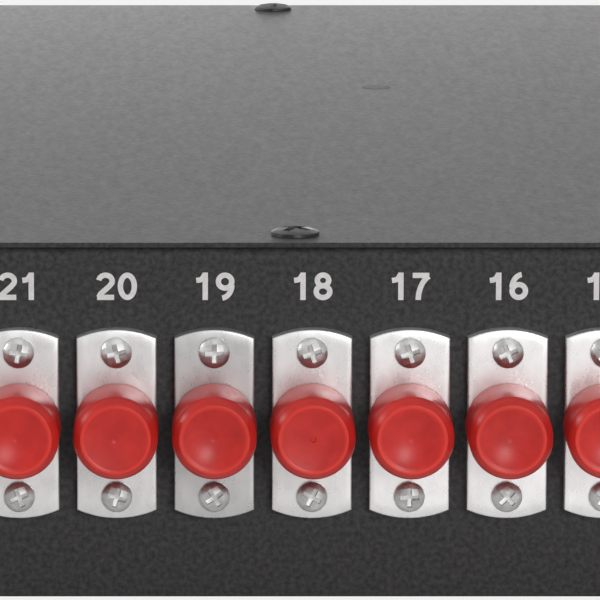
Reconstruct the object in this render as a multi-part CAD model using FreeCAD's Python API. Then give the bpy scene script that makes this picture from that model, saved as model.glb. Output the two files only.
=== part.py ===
import FreeCAD, Part
import os

# Rack-mount optical splitter, one rack unit high. Lengths are in millimetres.
# X runs along the panel, Y goes back into the rack, Z is up.
# The origin is the centre of the rack hole pattern, on the front face.

Vec = FreeCAD.Vector
ALONG_X = Vec(1, 0, 0)
ALONG_Y = Vec(0, 1, 0)
ALONG_Z = Vec(0, 0, 1)

# Rack interface
rack_width = 482.6
rack_hole_inset = 8.75
rack_hole_pitch_z = 31.75
rack_slot_height = 6.8
rack_slot_length = 10.0

# Folded case
case_height = 44.4
case_depth = 240.0
case_sheet = 1.0
cover_sheet = 0.6
inner_bend = 0.3
tray_lip = 10.0
panel_lip = 14.0
panel_fit = 0.2
corner_relief = 4.0
lip_gap = 1.0
cover_corner = 2.0

# Rack ears
ear_reach = 21.3
ear_sheet = 2.0
ear_depth = 40.0
ear_fit = 0.5
ear_corner = 3.0
ear_screw_back = 8.0
ear_screw_pitch_y = 20.0
ear_screw_pitch_z = 24.0

# Port row, numbered from right to left, with the input at the far left
port_pitch = 12.0
port_side_inset = 14.0
input_port_gap = 40.0
port_z = -0.1

# Flanged adapter
flange_disc_dia = 23.6
flange_width = 9.8
flange_thick = 2.0
flange_hole_pitch = 18.0
barrel_dia = 8.0
barrel_front = 8.0
barrel_back = 8.0
socket_dia = 5.6
socket_depth = 6.5
keyway_width = 2.15
keyway_depth = 3.5
sleeve_dia = 4.2
sleeve_bore = 2.5
sleeve_recess = 2.0
barrel_hole_fit = 0.2

# Dust cap
cap_dia = 10.4
cap_face_dia = 8.8
cap_length = 9.6
cap_edge = 0.7
cap_dish = 0.35
cap_running_fit = 0.05
cap_flange_gap = 0.2
cap_end_gap = 0.3

# Screws: shank, head diameter, head height
adapter_screw = (2.0, 3.8, 1.3)
cover_screw = (3.0, 6.0, 1.0)
ear_screw = (4.0, 7.6, 2.2)
floor_screw = (3.0, 5.6, 1.6)
strap_screw = (3.0, 5.6, 1.6)
screw_fit = 0.05
screw_spare = 1.5
floor_screw_short = 0.2
cover_screw_front = 6.3
cover_screw_rear = 5.5
cover_screw_side = 12.0

# Post that stiffens the middle of the cover
post_module_gap = 2.0
post_forward = 2.0
post_flats = 7.0
post_spigot = 4.0
post_spigot_fit = 0.05
post_floor_gap = 0.3

# Splitter module on its shelf
module_long = 140.0
module_tall = 18.0
module_spool_gap = 1.1
module_loom_gap = 39.5
module_rear_gap = 40.5
module_corner = 3.0
shelf_sheet = 1.2
shelf_overhang = 2.0
shelf_edge = 1.0
shelf_foot = 10.0
strap_width = 16.0
strap_sheet = 1.0
strap_foot = 10.0
strap_fit = 0.1

# Rear connector on each adapter
nut_dia = 10.0
nut_length = 8.0
nut_fit = 0.1
nut_panel_gap = 0.3
boot_root_dia = 5.0
boot_tip_dia = 2.4
boot_length = 15.0

# Fibres inside the case
tail_dia = 0.9
loom_dia = 4.0
loom_bend = 30.0
loom_boot_gap = 20.7
loom_start_past = 4.0
input_bend = 30.0
input_rear_inset = 9.0
input_return_gap = 6.0
input_entry_offset = 25.0

# Guides that carry the fibres
spool_wall = 2.0
spool_fit = 0.3
spool_rim_gap = 1.3
spool_rim = 1.6
spool_rim_reach = 1.2
clip_width = 8.0
clip_length = 12.0
clip_wall = 2.0
clip_fit = 0.1
clip_mouth = 0.7
input_clip_shares = (0.2, 0.6)

# Levels, faces and places that follow from the sizes above
rack_hole_pitch_x = rack_width - 2 * rack_hole_inset
case_width = rack_width - 2 * ear_reach
floor_under = -case_height / 2
floor_top = floor_under + case_sheet
cover_top = case_height / 2
cover_under = cover_top - cover_sheet
outer_bend = inner_bend + case_sheet
half_width = case_width / 2
inside_half = half_width - case_sheet
first_port_x = half_width - port_side_inset
input_port_x = port_side_inset - half_width
port_row = first_port_x - input_port_x - input_port_gap
port_count = round(port_row / port_pitch) + 1
port_xs = [first_port_x - i * port_pitch for i in range(port_count)]
all_port_xs = port_xs + [input_port_x]
flange_front = -flange_thick
barrel_tip = flange_front - barrel_front
nut_front = case_sheet + nut_panel_gap
boot_start = nut_front + nut_length
boot_tip = boot_start + boot_length

# Layout of the inside: the loom turns round the spool, and the module stands beside it
loom_left_x = port_xs[-1]
loom_front_y = boot_tip + loom_boot_gap
spool_radius = loom_bend - loom_dia / 2 - spool_fit
module_left = loom_left_x + spool_radius + spool_rim_reach + module_spool_gap + shelf_overhang
module_right = module_left + module_long
module_x = (module_left + module_right) / 2
module_front = loom_front_y + module_loom_gap
module_back = case_depth - module_rear_gap
module_y = (module_front + module_back) / 2
module_under = port_z - module_tall / 2
module_top = port_z + module_tall / 2
shelf_under = module_under - shelf_sheet
shelf_half_x = module_long / 2 + shelf_overhang
strap_inner_half = (module_back - module_front) / 2 + strap_fit
shelf_half_y = strap_inner_half + strap_sheet + strap_foot + shelf_edge
post_corner_radius = post_flats / 3 ** 0.5
post_x = module_right + shelf_overhang + post_module_gap + post_corner_radius
post_y = module_y - post_forward
spool_top = port_z + loom_dia / 2 + spool_rim_gap + spool_rim
spool_height = spool_top - floor_top
loom_clip_start = first_port_x - 3.5 * port_pitch
loom_clip_pitch = 8 * port_pitch
loom_clip_count = int((loom_clip_start - loom_left_x) / loom_clip_pitch) + 1
input_rear_y = case_depth - input_rear_inset
input_turn_x = input_port_x + input_bend
input_return_x = module_right + input_return_gap


def block(x0, x1, y0, y1, z0, z1):
    """Return a block between two corners."""
    return Part.makeBox(x1 - x0, y1 - y0, z1 - z0, Vec(x0, y0, z0))


def rod(diameter, start, along, length):
    """Return a round bar that starts at a point and runs along a direction."""
    return Part.makeCylinder(diameter / 2, length, start, along)


def edges_at(shape, direction, near):
    """Return the straight edges that run along a direction and whose middle passes a test."""
    found = []
    for edge in shape.Edges:
        ends = [v.Point for v in edge.Vertexes]
        if len(ends) != 2:
            continue
        run = ends[1] - ends[0]
        if run.cross(direction).Length > 1e-6 * run.Length:
            continue
        if near((ends[0] + ends[1]) * 0.5):
            found.append(edge)
    return found


def same(a, b):
    """Tell whether two lengths agree."""
    return abs(a - b) < 1e-6


def pan_screw(size, reach, seat, inward):
    """Return a pan head screw whose head sits on a point and whose shank points inward."""
    shank_dia, head_dia, head_height = size
    head = rod(head_dia, seat, inward * -1, head_height)
    shank = rod(shank_dia, seat, inward, reach)
    return head.fuse(shank)


def screw_hole(size, seat, inward, depth):
    """Return the cutter for a screw's hole, from outside its seat to a depth."""
    shank_dia = size[0]
    start = seat - inward
    return rod(shank_dia + 2 * screw_fit, start, inward, depth + 1)


def cut_all(shape, cutters):
    """Cut a list of shapes out of a shape in one operation."""
    return shape.cut(Part.makeCompound(cutters))


# Where each group of screws sits
def cover_screw_seats():
    """Return the seats along the front and rear edges of the cover."""
    seats = []
    for x in (-half_width + cover_screw_side, 0, half_width - cover_screw_side):
        seats.append(Vec(x, cover_screw_front, cover_top))
        seats.append(Vec(x, case_depth - cover_screw_rear, cover_top))
    return seats


def ear_screw_seats(side):
    """Return the seats on the outside of one ear."""
    x = side * (half_width + ear_sheet)
    seats = []
    for y in (ear_screw_back, ear_screw_back + ear_screw_pitch_y):
        for z in (-ear_screw_pitch_z / 2, ear_screw_pitch_z / 2):
            seats.append(Vec(x, y, z))
    return seats


def adapter_screw_seats():
    """Return the two seats on the front face of each flange."""
    seats = []
    for x in all_port_xs:
        for end in (-1, 1):
            seats.append(Vec(x, flange_front, port_z + end * flange_hole_pitch / 2))
    return seats


def shelf_screw_seats():
    """Return the seats on the feet of the module shelf."""
    seats = []
    for side in (-1, 1):
        for x in (module_x - module_long / 4, module_x + module_long / 4):
            y = module_y + side * (shelf_half_y + shelf_foot / 2)
            seats.append(Vec(x, y, floor_top + shelf_sheet))
    return seats


def strap_screw_seats():
    """Return the two seats on the feet of the module strap."""
    seats = []
    for side in (-1, 1):
        y = module_y + side * (strap_inner_half + strap_sheet + strap_foot / 2)
        seats.append(Vec(module_x, y, module_under + strap_sheet))
    return seats


# The case
def chassis_tray():
    """Floor, sides and rear wall folded from one sheet, with lips for the cover."""
    outer = block(-half_width, half_width, 0, case_depth, floor_under, cover_under)
    outer_sides = edges_at(outer, ALONG_Y, lambda p: True)
    outer_rear = edges_at(outer, ALONG_X, lambda p: same(p.y, case_depth))
    outer = outer.makeFillet(outer_bend, outer_sides + outer_rear)
    lip_under = cover_under - case_sheet
    rear_inside = case_depth - case_sheet
    cavity = block(-inside_half, inside_half, -1, rear_inside, floor_top, lip_under)
    cavity_sides = edges_at(cavity, ALONG_Y, lambda p: True)
    cavity_rear = edges_at(cavity, ALONG_X, lambda p: same(p.y, rear_inside))
    cavity = cavity.makeFillet(inner_bend, cavity_sides + cavity_rear)
    mouth_half = half_width - tray_lip
    mouth = block(-mouth_half, mouth_half, -1, case_depth - tray_lip, floor_top, cover_top)
    lip_start = panel_lip + lip_gap
    notch = block(-inside_half, inside_half, -1, lip_start, floor_top, cover_top)
    panel_back = case_sheet + panel_fit
    panel_seat = block(-inside_half, inside_half, -1, panel_back,
                       floor_under - 1, floor_top + inner_bend)
    cutters = [cavity, mouth, notch, panel_seat]
    grip = cover_sheet + case_sheet
    for seat in cover_screw_seats():
        if seat.y > case_depth / 2:
            cutters.append(screw_hole(cover_screw, seat, ALONG_Z * -1, grip + 1))
    for side in (-1, 1):
        for seat in ear_screw_seats(side):
            reach = ear_sheet + case_sheet + 1
            cutters.append(screw_hole(ear_screw, seat, ALONG_X * -side, reach))
    for seat in shelf_screw_seats():
        cutters.append(screw_hole(floor_screw, seat, ALONG_Z * -1, shelf_sheet + case_sheet + 1))
    return cut_all(outer, cutters)


def front_panel():
    """Plate that carries the adapters, folded back at the top and at both ends."""
    half = inside_half - panel_fit
    outer = block(-half, half, 0, panel_lip, floor_under, cover_under)
    top_bend = edges_at(outer, ALONG_X, lambda p: same(p.y, 0) and same(p.z, cover_under))
    end_bends = edges_at(outer, ALONG_Z, lambda p: same(p.y, 0))
    outer = outer.makeFillet(outer_bend, top_bend + end_bends)
    inner_half = half - case_sheet
    high = cover_under - case_sheet
    cavity = block(-inner_half, inner_half, case_sheet, panel_lip + 1, floor_under - 1, high)
    top_bend = edges_at(cavity, ALONG_X, lambda p: same(p.y, case_sheet) and same(p.z, high))
    end_bends = edges_at(cavity, ALONG_Z, lambda p: same(p.y, case_sheet))
    floor_relief = block(-half - 1, half + 1, case_sheet, panel_lip + 1,
                         floor_under - 1, floor_top + inner_bend)
    cutters = [cavity.makeFillet(inner_bend, top_bend + end_bends), floor_relief]
    relief_start = outer_bend + inner_bend
    for side in (-1, 1):
        x = side * half
        near_x, far_x = sorted((x - side * corner_relief, x + side))
        cutters.append(block(near_x, far_x, relief_start, panel_lip + 1,
                             cover_under - corner_relief, cover_under + 1))
        for seat in ear_screw_seats(side):
            reach = ear_sheet + 2 * case_sheet + 1
            cutters.append(screw_hole(ear_screw, seat, ALONG_X * -side, reach))
    for seat in cover_screw_seats():
        if seat.y < case_depth / 2:
            reach = cover_sheet + case_sheet + 1
            cutters.append(screw_hole(cover_screw, seat, ALONG_Z * -1, reach))
    barrel_hole = barrel_dia + 2 * barrel_hole_fit
    for x in all_port_xs:
        cutters.append(rod(barrel_hole, Vec(x, -1, port_z), ALONG_Y, case_sheet + 2))
    for seat in adapter_screw_seats():
        cutters.append(screw_hole(adapter_screw, seat, ALONG_Y, flange_thick + case_sheet + 1))
    return cut_all(outer, cutters)


def top_cover():
    """Flat cover with its screw holes and the hole for the post's spigot."""
    sheet = block(-half_width, half_width, 0, case_depth, cover_under, cover_top)
    sheet = sheet.makeFillet(cover_corner, edges_at(sheet, ALONG_Z, lambda p: True))
    cutters = []
    for seat in cover_screw_seats():
        cutters.append(screw_hole(cover_screw, seat, ALONG_Z * -1, cover_sheet + 1))
    spigot_hole = post_spigot + 2 * post_spigot_fit
    cutters.append(rod(spigot_hole, Vec(post_x, post_y, cover_under - 1), ALONG_Z, cover_sheet + 2))
    return cut_all(sheet, cutters)


def cover_post():
    """Hexagonal post clinched into the cover, with its flush spigot in the sheet."""
    foot = floor_top + post_floor_gap
    points = [Vec(post_corner_radius, 0, 0)]
    turn = FreeCAD.Rotation(ALONG_Z, 60)
    for _ in range(6):
        points.append(turn.multVec(points[-1]))
    outline = Part.Face(Part.makePolygon(points))
    outline.translate(Vec(post_x, post_y, foot))
    post = outline.extrude(Vec(0, 0, cover_under - foot))
    return post.fuse(rod(post_spigot, Vec(post_x, post_y, cover_under), ALONG_Z, cover_sheet))


def rack_ear(side):
    """Folded ear: a plate on the case side and a slotted flange in the rack plane."""
    low, high = floor_under + ear_fit, cover_top - ear_fit
    outer = block(half_width, rack_width / 2, 0, ear_depth, low, high)
    waste = block(half_width + ear_sheet, rack_width, ear_sheet, ear_depth + 1, low - 1, high + 1)
    inner_edge = edges_at(waste, ALONG_Z,
                          lambda p: same(p.x, half_width + ear_sheet) and same(p.y, ear_sheet))
    ear = outer.cut(waste.makeFillet(inner_bend, inner_edge))
    ear = ear.makeFillet(inner_bend + ear_sheet,
                         edges_at(ear, ALONG_Z, lambda p: same(p.x, half_width) and same(p.y, 0)))
    tips = edges_at(ear, ALONG_Y, lambda p: same(p.x, rack_width / 2))
    tips += edges_at(ear, ALONG_X, lambda p: same(p.y, ear_depth))
    ear = ear.makeFillet(ear_corner, [e for e in tips if same(e.Length, ear_sheet)])
    cutters = []
    straight = rack_slot_length - rack_slot_height
    for end in (-1, 1):
        z = end * rack_hole_pitch_z / 2
        x = rack_hole_pitch_x / 2
        cutters.append(block(x - straight / 2, x + straight / 2, -1, ear_sheet + 1,
                             z - rack_slot_height / 2, z + rack_slot_height / 2))
        for tip in (-1, 1):
            centre = Vec(x + tip * straight / 2, -1, z)
            cutters.append(rod(rack_slot_height, centre, ALONG_Y, ear_sheet + 2))
    for seat in ear_screw_seats(1):
        cutters.append(screw_hole(ear_screw, seat, ALONG_X * -1, ear_sheet + 1))
    ear = cut_all(ear, cutters)
    if side < 0:
        ear = ear.mirror(Vec(0, 0, 0), ALONG_X)
    return ear


# The ports
def fc_adapter(x):
    """Flanged adapter: an arched flange, a keyed front socket and a rear barrel."""
    centre = Vec(x, flange_front, port_z)
    disc = rod(flange_disc_dia, centre, ALONG_Y, flange_thick)
    half = flange_width / 2
    reach = flange_disc_dia
    strip = block(x - half, x + half, flange_front, 0, port_z - reach, port_z + reach)
    tip = Vec(x, barrel_tip, port_z)
    barrel = rod(barrel_dia, tip, ALONG_Y, barrel_front + flange_thick + barrel_back)
    body = disc.common(strip).fuse(barrel)
    socket = rod(socket_dia, tip - ALONG_Y, ALONG_Y, socket_depth + 1)
    sleeve = rod(sleeve_dia, tip + ALONG_Y * sleeve_recess, ALONG_Y, socket_depth)
    keyway = block(x - keyway_width / 2, x + keyway_width / 2, barrel_tip - 1,
                   barrel_tip + keyway_depth, port_z + sleeve_dia / 2, port_z + barrel_dia)
    light_path = rod(sleeve_bore, tip - ALONG_Y, ALONG_Y, socket_depth + 1)
    cutters = [socket.cut(sleeve), keyway, light_path]
    for end in (-1, 1):
        seat = Vec(x, flange_front, port_z + end * flange_hole_pitch / 2)
        cutters.append(screw_hole(adapter_screw, seat, ALONG_Y, flange_thick + 1))
    return cut_all(body, cutters)


def dust_cap(x):
    """Turned cup that slides over the barrel, with a shallow dish in its closed end."""
    outer = cap_dia / 2
    bore = barrel_dia / 2 + cap_running_fit
    mouth = flange_front - cap_flange_gap
    face = mouth - cap_length
    bottom = barrel_tip - cap_end_gap
    profile = [(0, bottom), (bore, bottom), (bore, mouth), (outer, mouth),
               (outer, face + cap_edge), (cap_face_dia / 2, face), (0, face + cap_dish)]
    points = [Vec(x + r, y, port_z) for r, y in profile + profile[:1]]
    return Part.Face(Part.makePolygon(points)).revolve(Vec(x, 0, port_z), ALONG_Y, 360)


def rear_connector(x):
    """Coupling nut over the rear barrel, with the tapered boot of the fibre."""
    nut = rod(nut_dia, Vec(x, nut_front, port_z), ALONG_Y, nut_length)
    boot = Part.makeCone(boot_root_dia / 2, boot_tip_dia / 2, boot_length,
                         Vec(x, boot_start, port_z), ALONG_Y)
    bore = rod(barrel_dia + 2 * nut_fit, Vec(x, 0, port_z), ALONG_Y, barrel_back + nut_fit)
    return nut.fuse(boot).cut(bore)


# The optics
def splitter_module():
    """Sealed moulded box of the splitter, with rounded upright corners."""
    box = block(module_left, module_right, module_front, module_back, module_under, module_top)
    box = box.makeFillet(module_corner, edges_at(box, ALONG_Z, lambda p: True))
    return box


def module_shelf():
    """Hat-shaped sheet that lifts the module to the level of the ports."""
    left, right = module_x - shelf_half_x, module_x + shelf_half_x
    front, back = module_y - shelf_half_y, module_y + shelf_half_y
    top = block(left, right, front, back, shelf_under, module_under)
    parts = [top]
    for side in (-1, 1):
        edge = module_y + side * shelf_half_y
        leg_in, leg_out = sorted((edge, edge - side * shelf_sheet))
        parts.append(block(left, right, leg_in, leg_out, floor_top, module_under))
        foot_in, foot_out = sorted((edge - side * shelf_sheet, edge + side * shelf_foot))
        parts.append(block(left, right, foot_in, foot_out, floor_top, floor_top + shelf_sheet))
    shelf = parts[0].multiFuse(parts[1:]).removeSplitter()
    cutters = []
    for seat in shelf_screw_seats():
        cutters.append(screw_hole(floor_screw, seat, ALONG_Z * -1, shelf_sheet + 1))
    for seat in strap_screw_seats():
        cutters.append(screw_hole(strap_screw, seat, ALONG_Z * -1, strap_sheet + shelf_sheet + 1))
    return cut_all(shelf, cutters)


def module_strap():
    """Strap bent over the module and screwed to the shelf."""
    left, right = module_x - strap_width / 2, module_x + strap_width / 2
    outer = strap_inner_half + strap_sheet
    bridge_top = module_top + strap_fit + strap_sheet
    parts = [block(left, right, module_y - outer, module_y + outer,
                   module_top + strap_fit, bridge_top)]
    for side in (-1, 1):
        inner_y = module_y + side * strap_inner_half
        leg_in, leg_out = sorted((inner_y, inner_y + side * strap_sheet))
        parts.append(block(left, right, leg_in, leg_out, module_under, bridge_top))
        foot_in, foot_out = sorted((inner_y, inner_y + side * (strap_sheet + strap_foot)))
        parts.append(block(left, right, foot_in, foot_out,
                           module_under, module_under + strap_sheet))
    strap = parts[0].multiFuse(parts[1:]).removeSplitter()
    cutters = []
    for seat in strap_screw_seats():
        cutters.append(screw_hole(strap_screw, seat, ALONG_Z * -1, strap_sheet + 1))
    return cut_all(strap, cutters)


# The fibres and their guides
def quarter_turn(centre, from_dir, to_dir, radius):
    """Return an arc about a centre, from one direction to the next."""
    middle = (from_dir + to_dir).normalize()
    points = [centre + d * radius for d in (from_dir, middle, to_dir)]
    return Part.Arc(*points).toShape()


def tube_along(edges, diameter):
    """Sweep a round section along straight runs and tangent arcs."""
    path = Part.Wire(edges)
    start = path.OrderedVertexes[0].Point
    tangent = path.OrderedEdges[0].tangentAt(path.OrderedEdges[0].FirstParameter)
    ring = Part.Wire(Part.Circle(start, tangent, diameter / 2).toShape())
    return path.makePipeShell([ring], True, False)


def loom_trunk():
    """Bundle of output fibres: along the ports, round the spool and into the module."""
    z = port_z
    front_turn = Vec(loom_left_x, loom_front_y + loom_bend, z)
    rear_turn = Vec(loom_left_x, module_y - loom_bend, z)
    start = Vec(first_port_x + loom_start_past, loom_front_y, z)
    end = Vec(module_left, module_y, z)
    edges = [
        Part.makeLine(start, front_turn - ALONG_Y * loom_bend),
        quarter_turn(front_turn, ALONG_Y * -1, ALONG_X * -1, loom_bend),
        Part.makeLine(front_turn - ALONG_X * loom_bend, rear_turn - ALONG_X * loom_bend),
        quarter_turn(rear_turn, ALONG_X * -1, ALONG_Y, loom_bend),
        Part.makeLine(rear_turn + ALONG_Y * loom_bend, end),
    ]
    return tube_along(edges, loom_dia)


def output_fibres():
    """The trunk with one short tail to the boot of each output port."""
    tails = []
    for x in port_xs:
        start = Vec(x, boot_tip, port_z)
        tails.append(rod(tail_dia, start, ALONG_Y, loom_front_y - boot_tip))
    return loom_trunk().multiFuse(tails)


def input_fibre():
    """Single fibre from the input port, behind the module and back into its far end."""
    z = port_z
    entry_y = module_y + input_entry_offset
    far = (input_rear_y - entry_y) / 2
    rear_turn = Vec(input_turn_x, input_rear_y - input_bend, z)
    return_turn = Vec(input_return_x, entry_y + far, z)
    edges = [
        Part.makeLine(Vec(input_port_x, boot_tip, z), rear_turn - ALONG_X * input_bend),
        quarter_turn(rear_turn, ALONG_X * -1, ALONG_Y, input_bend),
        Part.makeLine(rear_turn + ALONG_Y * input_bend, return_turn + ALONG_Y * far),
        quarter_turn(return_turn, ALONG_Y, ALONG_X, far),
        quarter_turn(return_turn, ALONG_X, ALONG_Y * -1, far),
        Part.makeLine(return_turn - ALONG_Y * far, Vec(module_right, entry_y, z)),
    ]
    return tube_along(edges, tail_dia)


def oblong(radius, run, centre, height):
    """Upright bar with a straight run along Y between two round ends."""
    bar = block(centre.x - radius, centre.x + radius, centre.y, centre.y + run,
                centre.z, centre.z + height)
    ends = []
    for y in (centre.y, centre.y + run):
        ends.append(rod(2 * radius, Vec(centre.x, y, centre.z), ALONG_Z, height))
    return bar.multiFuse(ends).removeSplitter()


def fibre_spool():
    """Oblong moulded ring on the floor that the trunk bends round."""
    run = module_y - loom_front_y - 2 * loom_bend
    base = Vec(loom_left_x, loom_front_y + loom_bend, floor_top)
    wall = oblong(spool_radius, run, base, spool_height)
    hollow = oblong(spool_radius - spool_wall, run, base - ALONG_Z, spool_height + 2)
    rim_base = base + ALONG_Z * (spool_height - spool_rim)
    rim = oblong(spool_radius + spool_rim_reach, run, rim_base, spool_rim)
    return wall.fuse(rim).cut(hollow)


def fibre_clip(x, y, held_dia):
    """Upright clip with a round seat and a mouth that opens upward."""
    half = clip_width / 2
    top = port_z + held_dia / 2 + clip_wall
    foot = block(x - clip_length / 2, x + clip_length / 2, y - half, y + half,
                 floor_top, floor_top + clip_wall)
    stem = block(x - half / 2, x + half / 2, y - half, y + half, floor_top, top)
    seat_dia = held_dia + 2 * clip_fit
    seat = rod(seat_dia, Vec(x - half, y, port_z), ALONG_X, clip_width)
    mouth_half = clip_mouth * seat_dia / 2
    mouth = block(x - half, x + half, y - mouth_half, y + mouth_half, port_z, top + 1)
    return foot.fuse(stem).cut(seat.fuse(mouth))


def group(solids):
    """Gather separate solids into one shape."""
    return Part.makeCompound(solids)


def screws_on(size, reach, seats, inward):
    """Return one screw on each seat."""
    return group([pan_screw(size, reach, seat, inward) for seat in seats])


def ear_screws():
    """Return the screws of both ears."""
    screws = []
    reach = ear_sheet + 2 * case_sheet + panel_fit + screw_spare
    for side in (-1, 1):
        for seat in ear_screw_seats(side):
            screws.append(pan_screw(ear_screw, reach, seat, ALONG_X * -side))
    return group(screws)


def loom_clips():
    """Return clips for the trunk, each midway between two ports."""
    places = [loom_clip_start - i * loom_clip_pitch for i in range(loom_clip_count)]
    return group([fibre_clip(x, loom_front_y, loom_dia) for x in places])


def input_clips():
    """Return clips for the input fibre along its straight rear run."""
    run = input_return_x - input_turn_x
    places = [input_turn_x + share * run for share in input_clip_shares]
    return group([fibre_clip(x, input_rear_y, tail_dia) for x in places])


down = ALONG_Z * -1
cover_reach = cover_sheet + case_sheet + screw_spare
adapter_reach = flange_thick + case_sheet + screw_spare
shelf_reach = shelf_sheet + case_sheet - floor_screw_short
strap_reach = strap_sheet + shelf_sheet + screw_spare
nodes = {
    "chassis_tray": chassis_tray(),
    "front_panel": front_panel(),
    "top_cover": top_cover(),
    "cover_post": cover_post(),
    "left_ear": rack_ear(-1),
    "right_ear": rack_ear(1),
    "cover_screws": screws_on(cover_screw, cover_reach, cover_screw_seats(), down),
    "ear_screws": ear_screws(),
    "fc_adapters": group([fc_adapter(x) for x in all_port_xs]),
    "adapter_screws": screws_on(adapter_screw, adapter_reach, adapter_screw_seats(), ALONG_Y),
    "rear_connectors": group([rear_connector(x) for x in all_port_xs]),
    "splitter_module": splitter_module(),
    "module_shelf": module_shelf(),
    "shelf_screws": screws_on(floor_screw, shelf_reach, shelf_screw_seats(), down),
    "module_strap": module_strap(),
    "strap_screws": screws_on(strap_screw, strap_reach, strap_screw_seats(), down),
    "output_fibres": output_fibres(),
    "input_fibre": input_fibre(),
    "fibre_spool": fibre_spool(),
    "loom_clips": loom_clips(),
    "input_clips": input_clips(),
    "dust_cap_in": dust_cap(input_port_x),
}
for number, x in enumerate(port_xs, start=1):
    nodes[f"dust_cap_{number:02d}"] = dust_cap(x)

os.makedirs("parts", exist_ok=True)
for name, shape in nodes.items():
    shape.exportStep(f"parts/{name}.step")
    print(name, len(shape.Solids), "solids", round(shape.Volume, 1), "mm3")
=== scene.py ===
import bpy
import bmesh
import math
import numpy as np
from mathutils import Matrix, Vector


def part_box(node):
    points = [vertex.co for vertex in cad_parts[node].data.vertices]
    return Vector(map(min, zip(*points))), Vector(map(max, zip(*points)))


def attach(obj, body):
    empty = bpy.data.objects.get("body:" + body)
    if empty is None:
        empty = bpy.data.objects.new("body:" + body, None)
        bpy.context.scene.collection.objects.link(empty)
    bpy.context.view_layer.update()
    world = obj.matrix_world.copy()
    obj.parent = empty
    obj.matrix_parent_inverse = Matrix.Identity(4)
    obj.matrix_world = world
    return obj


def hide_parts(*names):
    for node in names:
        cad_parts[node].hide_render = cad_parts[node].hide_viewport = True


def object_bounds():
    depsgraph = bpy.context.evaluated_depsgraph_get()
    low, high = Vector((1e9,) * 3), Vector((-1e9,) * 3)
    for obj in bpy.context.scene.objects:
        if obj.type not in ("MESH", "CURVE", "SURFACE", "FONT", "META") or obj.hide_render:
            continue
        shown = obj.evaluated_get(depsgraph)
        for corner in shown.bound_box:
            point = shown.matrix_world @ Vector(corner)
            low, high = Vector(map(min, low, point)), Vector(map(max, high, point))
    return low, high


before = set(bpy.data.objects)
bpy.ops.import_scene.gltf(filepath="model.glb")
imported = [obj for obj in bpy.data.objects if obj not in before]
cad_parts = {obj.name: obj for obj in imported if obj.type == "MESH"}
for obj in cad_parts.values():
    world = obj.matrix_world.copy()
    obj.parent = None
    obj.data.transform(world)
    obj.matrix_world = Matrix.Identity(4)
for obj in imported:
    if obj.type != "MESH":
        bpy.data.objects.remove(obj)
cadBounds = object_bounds()
print("frame loaded:", len(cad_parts), "nodes")

mm = 0.001
twoPi = 2 * math.pi
caseBody = "case"
capPrefix = "dust_cap_"
capNodes = sorted(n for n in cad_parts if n.startswith(capPrefix))


def nodeCentre(node):
    # middle of a node's box
    low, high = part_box(node)
    return (low + high) / 2


# every port stands where its dust cap sits
portPlaces = {n: nodeCentre(n) for n in capNodes}
flangeBack = 0.0                                    # the panel's front face
capLow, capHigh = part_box("dust_cap_18")
capFaceY, capMouthY = capLow.y, capHigh.y


# mesh helpers: every shape below is a stack of grids, put into one mesh

def gridQuads(rows, cols, start, wrap):
    # quads of a rows x cols grid of points; wrap joins the last column to the first
    index = np.arange(rows * cols).reshape(rows, cols) + start
    if wrap:
        index = np.concatenate([index, index[:, :1]], axis=1)
    a, b = index[:-1, :-1], index[:-1, 1:]
    c, d = index[1:, 1:], index[1:, :-1]
    return np.stack([a, b, c, d], axis=-1).reshape(-1, 4)


def joinGrids(grids):
    # grids: list of (points rows x cols x 3, wrap); returns points and quads of them all
    points, quads, start = [], [], 0
    for grid, wrap in grids:
        rows, cols = grid.shape[:2]
        quads.append(gridQuads(rows, cols, start, wrap))
        points.append(grid.reshape(-1, 3))
        start += rows * cols
    return np.concatenate(points), np.concatenate(quads)


mergeWithin = 1e-7                                  # metres between doubles
flatWithin = 1e-8                                   # metres across a flat face


def cleanTemplate(points, quads):
    # merge doubles, drop the flat faces that a pole leaves and turn the rest outwards;
    # returns points and face lists
    mesh = bpy.data.meshes.new("template")
    mesh.from_pydata(points.tolist(), [], quads.tolist())
    work = bmesh.new()
    work.from_mesh(mesh)
    bmesh.ops.remove_doubles(work, verts=work.verts, dist=mergeWithin)
    bmesh.ops.dissolve_degenerate(work, edges=work.edges, dist=flatWithin)
    bmesh.ops.recalc_face_normals(work, faces=work.faces)
    work.verts.ensure_lookup_table()
    cleanPoints = np.array([v.co for v in work.verts])
    faces = [[v.index for v in f.verts] for f in work.faces]
    work.free()
    bpy.data.meshes.remove(mesh)
    return cleanPoints, faces


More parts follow.
